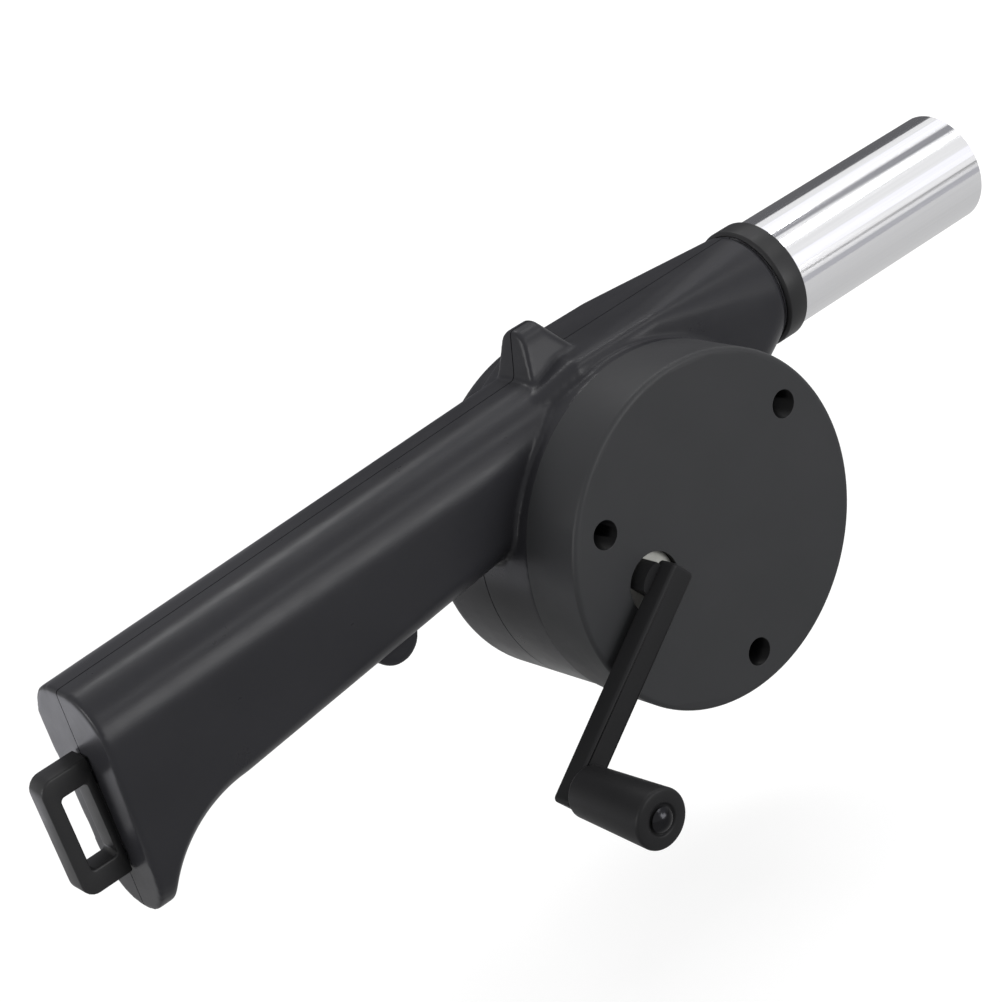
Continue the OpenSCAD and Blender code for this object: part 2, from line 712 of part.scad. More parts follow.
// Moulded ring round the tube's foot
module nozzle_collar() color("#1e1e20") at_drum() translate([collar_x, 0, nozzle_rise]) rotate([0, 90, 0]) {
    edge = 0.5;
    difference() {
        rotate_extrude() polygon([
            [tube_r + fit_gap, 0], [collar_r - edge, 0], [collar_r, edge],
            [collar_r, collar_len - edge], [collar_r - edge, collar_len], [tube_r + fit_gap, collar_len]
        ]);
        translate([0, 0, -1]) cylinder(r = tube_r + fit_gap, h = collar_len + 2);
    }
}

// Rectangular ring on a tongue, whose foot is trapped inside the handle's end
module hanging_loop() color("#151516") at_drum() {
    back = end_x(loop_z) - loop_reach;
    foot_x = -handle_end + wall + fit_gap;
    low = loop_z - loop_h / 2;
    high = loop_z + loop_h / 2;
    slot_end = back + loop_outer_bar + loop_slot;
    through(-loop_t / 2, loop_t / 2) difference() {
        union() {
            polygon([
                [back + loop_corner, low], [end_x(low) - loop_end_gap, low], [end_x(high) - loop_end_gap, high],
                [back + loop_corner, high], [back, high - loop_corner], [back, low + loop_corner]
            ]);
            translate([slot_end, loop_z - tongue_h / 2]) square([foot_x + tongue_foot_t / 2 - slot_end, tongue_h]);
            translate([foot_x, loop_z - tongue_h / 2 - tongue_foot_t])
                square([tongue_foot_t, tongue_h + 2 * tongue_foot_t]);
        }
        translate([back + loop_outer_bar, low + loop_bar]) square([loop_slot, loop_h - 2 * loop_bar]);
    }
}

// Crank arm with its flat-sided shaft, in one moulding
// The crank shaft's section from one depth to another, grown by a gap on each side
module flat_sided(gap, front_y, back_y) intersection() {
    rod(crank_at, shaft_r + gap, front_y, back_y);
    through(front_y, back_y) translate(crank_at) rotate(crank_angle)
        translate([-shaft_flats / 2 - gap, -2 * shaft_r]) square([shaft_flats + 2 * gap, 4 * shaft_r]);
}

module crank_arm() color("#19191b") at_drum() {
    difference() {
        through(arm_front_y, arm_back_y) translate(crank_at) rotate(crank_angle) {
            arm_len = crank_throw + 2 * arm_over;
            translate([-arm_over, arm_corner_r - arm_w / 2]) square([arm_len, arm_w - 2 * arm_corner_r]);
            translate([arm_corner_r - arm_over, -arm_w / 2]) square([arm_len - 2 * arm_corner_r, arm_w]);
            for (x = [arm_corner_r - arm_over, crank_throw + arm_over - arm_corner_r], side = [-1, 1])
                translate([x, side * (arm_w / 2 - arm_corner_r)]) circle(arm_corner_r);
        }
        rod(knob_at, knob_pin_r + fit_gap, arm_front_y - 1, arm_back_y + 1);
    }
    flat_sided(0, arm_back_y - arm_lap, crank_gear_back_y - 1);
}

// Nylon gear on the crank, turning in the cover's hole and in the gear plate
module crank_gear() color("#b9b9b5") at_drum() difference() {
    union() {
        through(crank_gear_y, crank_gear_back_y) translate(crank_at) gear_outline(crank_teeth, mesh_angle_1);
        rod(crank_at, hub_r, hub_front_y, crank_gear_y + eps);
        rod(crank_at, journal_r, crank_gear_back_y - eps, joint_y - 0.4);
    }
    flat_sided(fit_gap, hub_front_y - 1, crank_gear_back_y - 1);
}

// Tapered grip that turns on its pin
module knob() color("#303032") at_drum() {
    edge = 0.8;
    difference() {
        translate([knob_at[0], 0, knob_at[1]]) turned() polygon([
            [0, knob_front_y], [knob_end_r - edge, knob_front_y], [knob_end_r, knob_front_y + edge],
            [knob_arm_r, knob_back_y - edge], [knob_arm_r - edge, knob_back_y], [0, knob_back_y]
        ]);
        rod(knob_at, knob_pin_r + run_gap, knob_front_y - 1, knob_back_y + 1);
    }
}

// Steel pin through the knob, fixed in the arm, with a domed head
module knob_pin() color("#1c1c1e") at_drum() {
    head_y = knob_front_y - side_gap / 2;
    rod(knob_at, knob_pin_r, head_y - eps, arm_back_y - 0.2);
    dome_r = (knob_head_r ^ 2 + knob_head_h ^ 2) / (2 * knob_head_h);
    translate([knob_at[0], 0, knob_at[1]]) turned() intersection() {
        translate([0, head_y - knob_head_h + dome_r]) circle(dome_r);
        translate([0, head_y - knob_head_h]) square([knob_head_r + 1, knob_head_h]);
    }
}

// Compound gear: a small gear that meets the crank gear and a large one that meets the fan's pinion
module idler_gear() color("#c4c4bf") at_drum() difference() {
    union() {
        through(crank_gear_y, wheel_y + eps) translate(idler_at)
            gear_outline(idler_pinion_teeth, mesh_angle_1 + 180 + 180 / idler_pinion_teeth);
        through(wheel_y, wheel_back_y) translate(idler_at) gear_outline(idler_wheel_teeth, mesh_angle_2);
    }
    rod(idler_at, idler_pin_r + run_gap, crank_gear_y - 1, wheel_back_y + 1);
}

module idler_pin() color("#9a9ca0") at_drum() rod(idler_at, idler_pin_r, inner_face_y + 0.2, joint_y - 0.2);

module fan_pinion() color("#b08d4a") at_drum() difference() {
    through(fan_pinion_y, fan_pinion_back_y)
        gear_outline(fan_pinion_teeth, mesh_angle_2 + 180 + 180 / fan_pinion_teeth);
    rod([0, 0], fan_shaft_r + fit_gap, fan_pinion_y - 1, fan_pinion_back_y + 1);
}

module fan_shaft() color("#9a9ca0") at_drum() rod([0, 0], fan_shaft_r, fan_pinion_y - 0.6, back_inner_y - 0.3);

// One curved blade, drawn about the drum's axis
module blade_outline() {
    mid_r = (blade_start_r + fan_r) / 2;
    bend = sqrt(blade_curve_r ^ 2 - ((fan_r - blade_start_r) / 2) ^ 2);
    intersection() {
        translate([mid_r, -bend]) difference() {
            circle(blade_curve_r + blade_t / 2);
            circle(blade_curve_r - blade_t / 2);
        }
        translate([0, -blade_t]) square([fan_r + 1, blade_curve_r]);
        difference() {
            circle(fan_r);
            circle(blade_start_r);
        }
    }
}

// Centrifugal fan: a disc on the gear side with curved blades
module impeller() color("#3c3d40") at_drum() difference() {
    union() {
        rod([0, 0], fan_r, disc_y, disc_y + disc_t);
        rod([0, 0], fan_hub_r, fan_front_y, fan_back_y);
        for (i = [0 : blade_count - 1])
            through(disc_y + disc_t - eps, blade_back_y) rotate(360 * i / blade_count) blade_outline();
    }
    rod([0, 0], fan_shaft_r + fit_gap, fan_front_y - 1, fan_back_y + 1);
}

// Thin washers on the shaft at both ends of the fan's hub
module thrust_washers() color("#c9a45c") at_drum() for (y = [fan_front_y - washer_t, fan_back_y])
    difference() {
        rod([0, 0], bush_r, y, y + washer_t);
        rod([0, 0], fan_shaft_r + fit_gap, y - 1, y + washer_t + 1);
    }

module bush(y0, y1) difference() {
    rod([0, 0], bush_r, y0, y1);
    rod([0, 0], fan_shaft_r + run_gap, y0 - 1, y1 + 1);
}

module plate_bush() color("#b08d4a") at_drum() bush(plate_bush_front_y, plate_bush_back_y);

module rear_bush() color("#b08d4a") at_drum() bush(rear_bush_front_y, back_inner_y);

right_shell();
left_shell();
gear_cover();
gear_plate();
cover_screws();
shell_screws();
nozzle_tube();
nozzle_collar();
hanging_loop();
crank_arm();
crank_gear();
knob();
knob_pin();
idler_gear();
idler_pin();
fan_pinion();
fan_shaft();
impeller();
thrust_washers();
plate_bush();
rear_bush();
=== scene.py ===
import math

import bmesh
import bpy
from mathutils import Matrix, Vector


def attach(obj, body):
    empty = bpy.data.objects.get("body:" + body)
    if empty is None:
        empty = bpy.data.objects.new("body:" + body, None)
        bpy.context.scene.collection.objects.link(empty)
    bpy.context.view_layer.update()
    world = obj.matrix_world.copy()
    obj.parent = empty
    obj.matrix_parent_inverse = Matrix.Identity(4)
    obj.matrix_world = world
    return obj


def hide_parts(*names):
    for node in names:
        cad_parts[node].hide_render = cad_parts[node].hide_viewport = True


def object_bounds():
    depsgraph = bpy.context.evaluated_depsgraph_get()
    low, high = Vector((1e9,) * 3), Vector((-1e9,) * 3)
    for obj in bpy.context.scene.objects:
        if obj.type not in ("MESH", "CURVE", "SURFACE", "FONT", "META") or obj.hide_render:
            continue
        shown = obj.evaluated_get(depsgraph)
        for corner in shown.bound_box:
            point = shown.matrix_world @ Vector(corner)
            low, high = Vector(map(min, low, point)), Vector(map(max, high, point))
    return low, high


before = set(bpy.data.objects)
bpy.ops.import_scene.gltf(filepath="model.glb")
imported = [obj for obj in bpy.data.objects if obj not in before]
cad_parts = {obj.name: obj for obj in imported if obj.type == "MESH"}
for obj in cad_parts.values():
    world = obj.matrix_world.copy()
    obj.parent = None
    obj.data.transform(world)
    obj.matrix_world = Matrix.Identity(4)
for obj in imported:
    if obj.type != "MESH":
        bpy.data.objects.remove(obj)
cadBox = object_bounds()
print("frame loaded:", len(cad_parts), "nodes")

mm = 0.001
drumAxis = Vector((-0.124, 0.0, -0.030))  # new pieces are drawn in mm about the drum's axis
toFrame = Matrix.Translation(drumAxis) @ Matrix.Scale(mm, 4)
alongX = Matrix.Rotation(math.radians(90), 4, "Y")
alongY = Matrix.Rotation(math.radians(-90), 4, "X")
weld = 0.0005  # in mm: drawn points closer than this become one
cadWeld = 2e-6  # in m, for copies of CAD nodes
onAxis = 0.01  # in mm: the least radius of a turned outline
level = 0.01  # in mm: points that differ by less count as level


def tangent(degrees):
    return math.tan(math.radians(degrees))


def quarterTurn(steps):
    return [math.radians(90) * i / steps for i in range(steps + 1)]


def linearColour(code):
    parts = [int(code[i:i + 2], 16) / 255 for i in (1, 3, 5)]
    return [c / 12.92 if c <= 0.04045 else ((c + 0.055) / 1.055) ** 2.4 for c in parts] + [1.0]


def addNode(tree, kind, settings=None, inputs=None):
    node = tree.nodes.new(kind)
    for key, value in (settings or {}).items():
        setattr(node, key, value)
    for key, value in (inputs or {}).items():
        if isinstance(value, bpy.types.NodeSocket):
            tree.links.new(value, node.inputs[key])
        else:
            node.inputs[key].default_value = value
    return node


# from drawn forms to objects

def linked(name, data):
    obj = bpy.data.objects.new(name, data)
    bpy.context.scene.collection.objects.link(obj)
    return obj


def meshFrom(bm, name):
    mesh = bpy.data.meshes.new(name)
    bm.to_mesh(mesh)
    bm.free()
    return mesh


def objectFrom(bm, name):
    bm.transform(toFrame)
    return linked(name, meshFrom(bm, name))


def baked(obj):
    # the object's modifiers become its mesh
    bpy.context.view_layer.update()
    graph = bpy.context.evaluated_depsgraph_get()
    mesh = bpy.data.meshes.new_from_object(obj.evaluated_get(graph))
    obj.modifiers.clear()
    old = obj.data
    obj.data = mesh
    bpy.data.meshes.remove(old)
    return obj


def carve(obj, cutter, operation="DIFFERENCE"):
    mod = obj.modifiers.new("carve", "BOOLEAN")
    mod.object = cutter
    mod.operation = operation
    mod.solver = "MANIFOLD"
    baked(obj)
    bpy.data.objects.remove(cutter)
    return obj


def softenEdges(obj, width, angle):
    mod = obj.modifiers.new("edges", "BEVEL")
    mod.width = width * mm
    mod.segments = 3
    mod.limit_method = "ANGLE"
    mod.angle_limit = math.radians(angle)
    mod.profile = 0.5
    mod.material = -1
    return baked(obj)


def shadeSmooth(obj, angle):
    mesh = obj.data
    mesh.polygons.foreach_set("use_smooth", [True] * len(mesh.polygons))
    mesh.set_sharp_from_angle(angle=math.radians(angle))
    mesh.update()


def handIn(obj, body, material, nodes, angle):
    shadeSmooth(obj, angle)
    obj.data.materials.clear()
    obj.data.materials.append(material)
    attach(obj, body)
    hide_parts(*nodes)
    print("piece", obj.name, len(obj.data.polygons), "faces")
    return obj


def secondFinishOrPaintedShade(obj, material, belongs):
    # the faces that belong get a material of their own: a second finish, or painted shade as in the cover's
    # bores
    obj.data.materials.append(material)
    for face in obj.data.polygons:
        if belongs(face, (face.center - drumAxis) / mm):
            face.material_index = 1
    return obj


def cylinder(bm, radius, low, high, turn, at=(0, 0, 0), segments=96):
    # a round along X or Y from low to high
    place = Matrix.Translation(Vector(at)) @ turn @ Matrix.Translation((0, 0, (low + high) / 2))
    bmesh.ops.create_cone(bm, cap_ends=True, segments=segments, radius1=radius, radius2=radius,
                          depth=high - low, matrix=place)


def box(bm, low, high):
    size = [h - l for l, h in zip(low, high)]
    centre = [(l + h) / 2 for l, h in zip(low, high)]
    place = Matrix.Translation(centre) @ Matrix.Diagonal((*size, 1))
    return bmesh.ops.create_cube(bm, size=1, matrix=place)["verts"]


def closedLine(bm, points):
    ring = [bm.verts.new(p) for p in points]
    for a, b in zip(ring, ring[1:] + ring[:1]):
        bm.edges.new((a, b))


def drawOut(bm, faces, by):
    # flat faces drawn out along a vector into a closed form
    grown = bmesh.ops.extrude_face_region(bm, geom=faces)
    moved = [v for v in grown["geom"] if isinstance(v, bmesh.types.BMVert)]
    bmesh.ops.translate(bm, vec=by, verts=moved)
    bmesh.ops.recalc_face_normals(bm, faces=bm.faces)


def prism(points, by):
    bm = bmesh.new()
    face = bm.faces.new([bm.verts.new(p) for p in points])
    drawOut(bm, [face], by)
    return bm


def turned(profile, turn, at=(0, 0, 0), segments=128):
    # a closed outline given as (radius, length) and spun about X or Y
    bm = bmesh.new()
    closedLine(bm, [(r, 0, h) for r, h in profile])
    bmesh.ops.spin(bm, geom=bm.verts[:] + bm.edges[:], cent=(0, 0, 0), axis=(0, 0, 1),
                   angle=math.radians(360), steps=segments, use_merge=True)
    bmesh.ops.remove_doubles(bm, verts=bm.verts, dist=weld)
    bmesh.ops.recalc_face_normals(bm, faces=bm.faces)
    bm.transform(Matrix.Translation(Vector(at)) @ turn)
    return bm


def cadCopy(node):
    # a CAD node's triangles, merged and joined into flat faces
    bm = bmesh.new()
    bm.from_mesh(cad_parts[node].data)
    bmesh.ops.remove_doubles(bm, verts=bm.verts, dist=cadWeld)
    bmesh.ops.dissolve_limit(bm, angle_limit=math.radians(1), verts=bm.verts, edges=bm.edges)
    bm.normal_update()
    return bm


# materials, with patterns sized in mm

absSkin = {"flow": 24, "rub": 9, "sheen": (-0.04, 0.05), "grainDepth": 0.06, "ior": 1.53}
steelSkin = {"lineLength": 40, "dull": 0.9, "haze": (-0.03, 0.05), "relief": 0.04, "lineDepth": 0.02}
nylonSkin = {"mottle": 2.5, "relief": 0.1, "depth": 0.05, "milk": 0.08, "reach": (0.6, 0.6, 0.5)}
turnedSkin = {"tarnish": 3, "relief": 0.15, "grooveDepth": 0.03}


def startMaterial(name):
    mat = bpy.data.materials.new(name)
    mat.use_nodes = True
    tree = mat.node_tree
    place = addNode(tree, "ShaderNodeTexCoord").outputs["Object"]
    return mat, tree, tree.nodes["Principled BSDF"], place


def mouldedAbs(name, dark, light, rough, grain, relief, specular):
    # ABS from a spark-eroded mould: black, a fine grain that breaks the gloss, faint flow patches
    mat, tree, shader, place = startMaterial(name)
    s = absSkin
    flow = addNode(tree, "ShaderNodeTexNoise", None,
                   {"Vector": place, "Scale": 1 / (s["flow"] * mm), "Detail": 3.0})
    tint = addNode(tree, "ShaderNodeMix", {"data_type": "RGBA"},
                   {0: flow.outputs["Fac"], 6: linearColour(dark), 7: linearColour(light)})
    tree.links.new(tint.outputs[2], shader.inputs["Base Color"])
    rub = addNode(tree, "ShaderNodeTexNoise", None,
                  {"Vector": place, "Scale": 1 / (s["rub"] * mm), "Detail": 5.0, "Roughness": 0.65})
    sheen = addNode(tree, "ShaderNodeMapRange", None,
                    {"Value": rub.outputs["Fac"], "From Min": 0.3, "From Max": 0.7,
                     "To Min": rough + s["sheen"][0], "To Max": rough + s["sheen"][1]})
    tree.links.new(sheen.outputs["Result"], shader.inputs["Roughness"])
    speck = addNode(tree, "ShaderNodeTexNoise", None,
                    {"Vector": place, "Scale": 1 / (grain * mm), "Detail": 2.0})
    bump = addNode(tree, "ShaderNodeBump", None, {"Height": speck.outputs["Fac"], "Strength": relief,
                                                  "Distance": s["grainDepth"] * mm})
    tree.links.new(bump.outputs["Normal"], shader.inputs["Normal"])
    shader.inputs["IOR"].default_value = s["ior"]
    shader.inputs["Specular IOR Level"].default_value = specular
    return mat


def beltedSteel(name, colour, rough, line):
    # stainless tube: bright, with lines left along it by the polishing belt or the drawing die
    mat, tree, shader, place = startMaterial(name)
    s = steelSkin
    shader.inputs["Metallic"].default_value = 1.0
    # the real lines are finer, and are drawn as wide as they need to show
    along = (1 / (s["lineLength"] * mm), 1 / (line * mm), 1 / (line * mm))
    stretched = addNode(tree, "ShaderNodeMapping", None, {"Vector": place, "Scale": along})
    lines = addNode(tree, "ShaderNodeTexNoise", None,
                    {"Vector": stretched.outputs["Vector"], "Scale": 1.0, "Detail": 4.0})
    bright = linearColour(colour)
    dull = [c * s["dull"] for c in bright[:3]] + [1.0]
    tone = addNode(tree, "ShaderNodeMix", {"data_type": "RGBA"},
                   {0: lines.outputs["Fac"], 6: dull, 7: bright})
    tree.links.new(tone.outputs[2], shader.inputs["Base Color"])
    haze = addNode(tree, "ShaderNodeMapRange", None,
                   {"Value": lines.outputs["Fac"], "From Min": 0.25, "From Max": 0.75,
                    "To Min": rough + s["haze"][0], "To Max": rough + s["haze"][1]})
    tree.links.new(haze.outputs["Result"], shader.inputs["Roughness"])
    bump = addNode(tree, "ShaderNodeBump", None, {"Height": lines.outputs["Fac"], "Strength": s["relief"],
                                                  "Distance": s["lineDepth"] * mm})
    tree.links.new(bump.outputs["Normal"], shader.inputs["Normal"])
    return mat


def castNylon(name, dark, light, rough):
    # nylon: milky, a little light goes in, dull skin with fine mottling
    mat, tree, shader, place = startMaterial(name)
    s = nylonSkin
    mottle = addNode(tree, "ShaderNodeTexNoise", None,
                     {"Vector": place, "Scale": 1 / (s["mottle"] * mm), "Detail": 4.0})
    tint = addNode(tree, "ShaderNodeMix", {"data_type": "RGBA"},
                   {0: mottle.outputs["Fac"], 6: linearColour(dark), 7: linearColour(light)})
    tree.links.new(tint.outputs[2], shader.inputs["Base Color"])
    bump = addNode(tree, "ShaderNodeBump", None, {"Height": mottle.outputs["Fac"], "Strength": s["relief"],
                                                  "Distance": s["depth"] * mm})
    tree.links.new(bump.outputs["Normal"], shader.inputs["Normal"])
    shader.inputs["Roughness"].default_value = rough
    shader.inputs["Subsurface Weight"].default_value = s["milk"]
    shader.inputs["Subsurface Radius"].default_value = [r * mm for r in s["reach"]]
    return mat


def turnedMetal(name, dark, light, rough, ring):
    # lathe-turned metal: fine rings round the axis and slightly uneven tarnish
    mat, tree, shader, place = startMaterial(name)
    s = turnedSkin
    shader.inputs["Metallic"].default_value = 1.0
    tarnish = addNode(tree, "ShaderNodeTexNoise", None,
                      {"Vector": place, "Scale": 1 / (s["tarnish"] * mm), "Detail": 5.0})
    tint = addNode(tree, "ShaderNodeMix", {"data_type": "RGBA"},
                   {0: tarnish.outputs["Fac"], 6: linearColour(dark), 7: linearColour(light)})
    tree.links.new(tint.outputs[2], shader.inputs["Base Color"])
    cut = addNode(tree, "ShaderNodeMapping", None, {"Vector": place, "Scale": (0.0, 1 / (ring * mm), 0.0)})
    grooves = addNode(tree, "ShaderNodeTexNoise", None,
                      {"Vector": cut.outputs["Vector"], "Scale": 1.0, "Detail": 2.0})
    bump = addNode(tree, "ShaderNodeBump", None, {"Height": grooves.outputs["Fac"], "Strength": s["relief"],
                                                  "Distance": s["grooveDepth"] * mm})
    tree.links.new(bump.outputs["Normal"], shader.inputs["Normal"])
    shader.inputs["Roughness"].default_value = rough
    return mat


# name, darker and lighter colour, roughness, then grain in mm, its relief and the gloss for ABS
casingAbs = mouldedAbs("mouldedAbsBlack", "#252528", "#2b2b2e", 0.31, 0.45, 0.12, 0.13)
coverAbs = mouldedAbs("mouldedAbsCover", "#2c2d2e", "#323234", 0.46, 0.40, 0.14, 0.15)
# painted shade: a near-black ABS for the walls of the cover's bores, standing in for the shade deep in them
borePaintedShadeAbs = mouldedAbs("mouldedAbsBorePaintedShade", "#0a0a0b", "#0f0f10", 0.30, 0.45, 0.05, 0.07)
crankAbs = mouldedAbs("mouldedAbsCrank", "#1e1e1f", "#242425", 0.42, 0.50, 0.10, 0.07)
collarAbs = mouldedAbs("mouldedAbsCollar", "#222223", "#282829", 0.38, 0.50, 0.10, 0.16)
knobAbs = mouldedAbs("mouldedAbsKnob", "#1b1b1c", "#212122", 0.42, 0.45, 0.12, 0.09)
fanAbs = mouldedAbs("mouldedAbsFan", "#2a2b2d", "#333437", 0.5, 0.6, 0.12, 0.4)
tubeSteel = beltedSteel("polishedSteel", "#f6f6f8", 0.09, 0.5)
tubeInside = beltedSteel("drawnSteel", "#c9cacd", 0.40, 0.8)
# the nylon is grey, and its colour is darkened further as painted shade for where it shows in the crank's
# hole
nylonWithPaintedShade = castNylon("greyNylonPaintedShade", "#959590", "#b0b0ab", 0.5)
screwSteel = turnedMetal("zincedSteel", "#6d7074", "#a1a4a8", 0.34, 0.15)
pinSteel = turnedMetal("blackenedSteel", "#1c1c1e", "#2e2e30", 0.2, 0.2)
bushBrass = turnedMetal("turnedBrass", "#9a7a3a", "#c49e55", 0.32, 0.12)
print("materials:", len(bpy.data.materials))


# casing: two moulded halves, in mm about the drum's axis

casing = {
    "drumRadius": 40.6, "drumBackRadius": 41.0, "drumFront": -17.5, "drumBack": 19.98, "drumBackEdge": 3.5,
    "handleEnd": 143.0, "handleStart": 4.0, "endLean": 1.0, "handleWidth": 29.4, "topEdge": 11.8,
    "sideTaper": 5.0, "topHeight": 42.3, "topSlope": 2.4,
    "lowHeight": 13.7, "lowSlope": 6.5, "lowEdge": 9.0, "lowWidth": 27.6, "lowRun": 118.0,
    "footLength": 25.0, "footDepth": 16.6, "footTip": 2.8, "footCorner": 11.0, "footSideAt": 45.0,
    "footRun": 32.0, "footRunFrom": -155.0, "hollowLift": 0.15, "hollowToe": 0.8,
    "stopAt": 70.0, "stopRadius": 6.3, "stopDrop": 5.4, "stopWidth": 12.0, "stopEdge": 1.2,
    "ridgeBack": 17.6, "ridgeLength": 19.5, "ridgeHeight": 10.6, "ridgeWidth": 15.0, "ridgeTop": 9.4,
    "ridgeTopLength": 6.0, "ridgeRake": 4.0, "ridgeSink": 9.0, "ridgeBase": 5.0,
    "ductRise": 30.0, "ductStart": -8.0, "ductEnd": 52.0, "ductEndRadius": 14.5, "ductWidth": 27.6,
    "ductTop": 43.6, "ductCorner": 3.0, "ductSquare": 16.0, "ductSlice": 1.0,
    "rampLength": 16.0, "rampIn": 3.8, "rampDrop": 5.0,
    "spigotRadius": 13.36, "spigotStart": 45.0, "spigotEnd": 69.9, "boreRadius": 11.36, "boreLap": 8.0,
    "chamberRadius": 38.4, "chamberBack": 17.8, "wall": 2.2,
    "bushBoss": 6.4, "bossLength": 4.4, "bossSink": 1.0,
    "slotCount": 14, "slotWidth": 3.2, "slotInner": 12.0, "slotOuter": 26.0, "slotRound": 0.46,
    "screwSeat": 6.4, "screwHead": 2.8, "screwAt": (56, 93.5, 131), "screwRise": 5.0, "screwCut": 20.0,
    "cutOver": 3.0, "cutterReach": 30.0, "cutterUnder": 4.0, "cutterHalf": 40.0,
    "halfBox": (300.0, 60.0, 200.0), "voxel": 0.56, "smoothing": 6, "seamGap": 0.14,
}


def topLine(x):
    return casing["topHeight"] + tangent(casing["topSlope"]) * x


def lowLine(x):
    return casing["lowHeight"] + tangent(casing["lowSlope"]) * x


def endLine(z):
    end = -casing["handleEnd"]
    return end - (topLine(end) - z) * tangent(casing["endLean"])


def sideLine(depth):
    # half the handle's width at a depth below its top
    return casing["handleWidth"] / 2 - max(0.0, depth - casing["topEdge"]) * tangent(casing["sideTaper"])


def footPlan():
    # where the foot's hollow starts, the middle of its toe, and the circle that hollows it
    c = casing
    start = Vector((-(c["handleEnd"] - c["footLength"]), 0))
    start.y = lowLine(start.x)
    tip = Vector((endLine(-c["footDepth"]) + c["footTip"], c["footTip"] - c["footDepth"]))
    slope = math.radians(c["lowSlope"])
    down = Vector((math.sin(slope), -math.cos(slope)))
    across = start - (tip + Vector((c["hollowToe"] * c["footTip"], 0)))
    radius = -across.length_squared / (2 * across.dot(down))
    return start, tip, start + (radius - c["hollowLift"]) * down, radius


def handleForm():
    c = casing
    start, tip, _, _ = footPlan()
    end, near, half = -c["handleEnd"], -c["handleStart"], c["handleWidth"] / 2
    toe = [(tip.x + c["footTip"] * math.cos(a), tip.y - c["footTip"] * math.sin(a)) for a in quarterTurn(6)]
    outline = [(end, topLine(end)), (near, topLine(near)), (near, lowLine(near)), (start.x, start.y)]
    outline += toe + [(endLine(-c["footDepth"]), -c["footDepth"])]
    bm = prism([(x, -half, z) for x, z in outline], (0, 2 * half, 0))
    for v in bm.verts:  # the sides draw in towards the lower edges
        v.co.y = math.copysign(sideLine(topLine(v.co.x) - v.co.z), v.co.y)
    atTop = {v for v in bm.verts if v.co.z > topLine(v.co.x) - level}
    top = [e for e in bm.edges if atTop.issuperset(e.verts) and abs(e.verts[0].co.x - e.verts[1].co.x) > 1]
    bmesh.ops.bevel(bm, geom=top, offset=c["topEdge"], segments=14, profile=0.5, affect="EDGES", material=-1)
    return bm


def easedCorner(radius, inner):
    # the outline, as (height, width), of what a rounding takes away
    outer, under = casing["cutterReach"], -casing["cutterUnder"]
    arc = [(radius * (1 - math.cos(a)), inner + radius * math.sin(a)) for a in quarterTurn(10)]
    return [(under, inner)] + arc + [(radius, outer), (under, outer)]


def edgeCutters():
    # the roundings along the handle's lower edges, round the hollow and under the foot
    c = casing
    start, _, centre, radius = footPlan()
    low = easedCorner(c["lowEdge"], c["lowWidth"] / 2 - c["lowEdge"])
    foot = easedCorner(c["footCorner"], sideLine(c["footSideAt"]) - c["footCorner"])
    sloped = Matrix.Rotation(math.radians(-c["lowSlope"]), 4, "Y")
    lowPlace = Matrix.Translation((start.x, 0, start.y)) @ sloped
    footPlace = Matrix.Translation((c["footRunFrom"], 0, -c["footDepth"]))
    made = []
    for side in (-1, 1):
        for outline, place, length in ((low, lowPlace, c["lowRun"]), (foot, footPlace, c["footRun"])):
            run = prism([(0, side * y, h) for h, y in outline], (length, 0, 0))
            run.transform(place)
            made.append(run)
        hollowEdge = [(radius + h, side * y) for h, y in low]
        made.append(turned(hollowEdge, alongY, (centre.x, 0, centre.y), segments=200))
    return made


def roundForm(radius, low, high, turn, at=(0, 0, 0), segments=96):
    bm = bmesh.new()
    cylinder(bm, radius, low, high, turn, at, segments)
    return bm


def hollowForm():
    _, _, centre, radius = footPlan()
    half = casing["cutterHalf"]
    return roundForm(radius, -half, half, alongY, (centre.x, 0, centre.y), segments=200)


def hullOf(bm):
    # keeps only the hull of what has been drawn
    points = [v.co.copy() for v in bm.verts]
    bm.clear()
    for p in points:
        bm.verts.new(p)
    made = bmesh.ops.convex_hull(bm, input=bm.verts)
    spare = set(made["geom_interior"]) | set(made["geom_unused"])
    bmesh.ops.delete(bm, geom=[g for g in spare if isinstance(g, bmesh.types.BMVert)], context="VERTS")
    bmesh.ops.recalc_face_normals(bm, faces=bm.faces)
    return bm


def ductHull(width, top, endRadius, endAt, ramp=0.0):
    # a square box by the drum that runs out to a round end, with a ramp up to it from the handle
    c = casing
    bm = bmesh.new()
    corner, start, thin = c["ductCorner"], c["ductStart"], c["ductSlice"]
    box(bm, (start, -width / 2, 0), (c["ductSquare"], width / 2, top - corner))
    for side in (-1, 1):
        edge = (0, side * (width / 2 - corner), top - corner)
        cylinder(bm, corner, start, c["ductSquare"], alongX, edge, segments=32)
        if ramp:
            low = (0, side * (width / 2 - corner - c["rampIn"]), top - corner - c["rampDrop"])
            cylinder(bm, corner, start - ramp, start - ramp + thin, alongX, low, segments=32)
    cylinder(bm, endRadius, endAt - thin, endAt, alongX, (0, 0, c["ductRise"]))
    return hullOf(bm)


def ridgeHull():
    c = casing
    bm = bmesh.new()
    back, half = -c["ridgeBack"], c["ridgeWidth"] / 2
    foot = topLine(back)
    base = foot - c["ridgeSink"]
    box(bm, (back, -half, base), (back + c["ridgeLength"], half, base + c["ridgeBase"]))
    tip, low = c["ridgeTop"] / 2, back + c["ridgeRake"]
    crest = (0, 0, foot + c["ridgeHeight"] - tip)
    cylinder(bm, tip, low, low + c["ridgeTopLength"], alongX, crest, segments=48)
    return hullOf(bm)


def drumForm():
    c = casing
    edge = c["drumBackEdge"]
    inner, shoulder = c["drumBackRadius"] - edge, c["drumBack"] - edge
    profile = [(onAxis, c["drumFront"]), (c["drumRadius"], c["drumFront"])]
    profile += [(inner + edge * math.cos(a), shoulder + edge * math.sin(a)) for a in quarterTurn(9)]
    return turned(profile + [(onAxis, c["drumBack"])], alongY, segments=192)


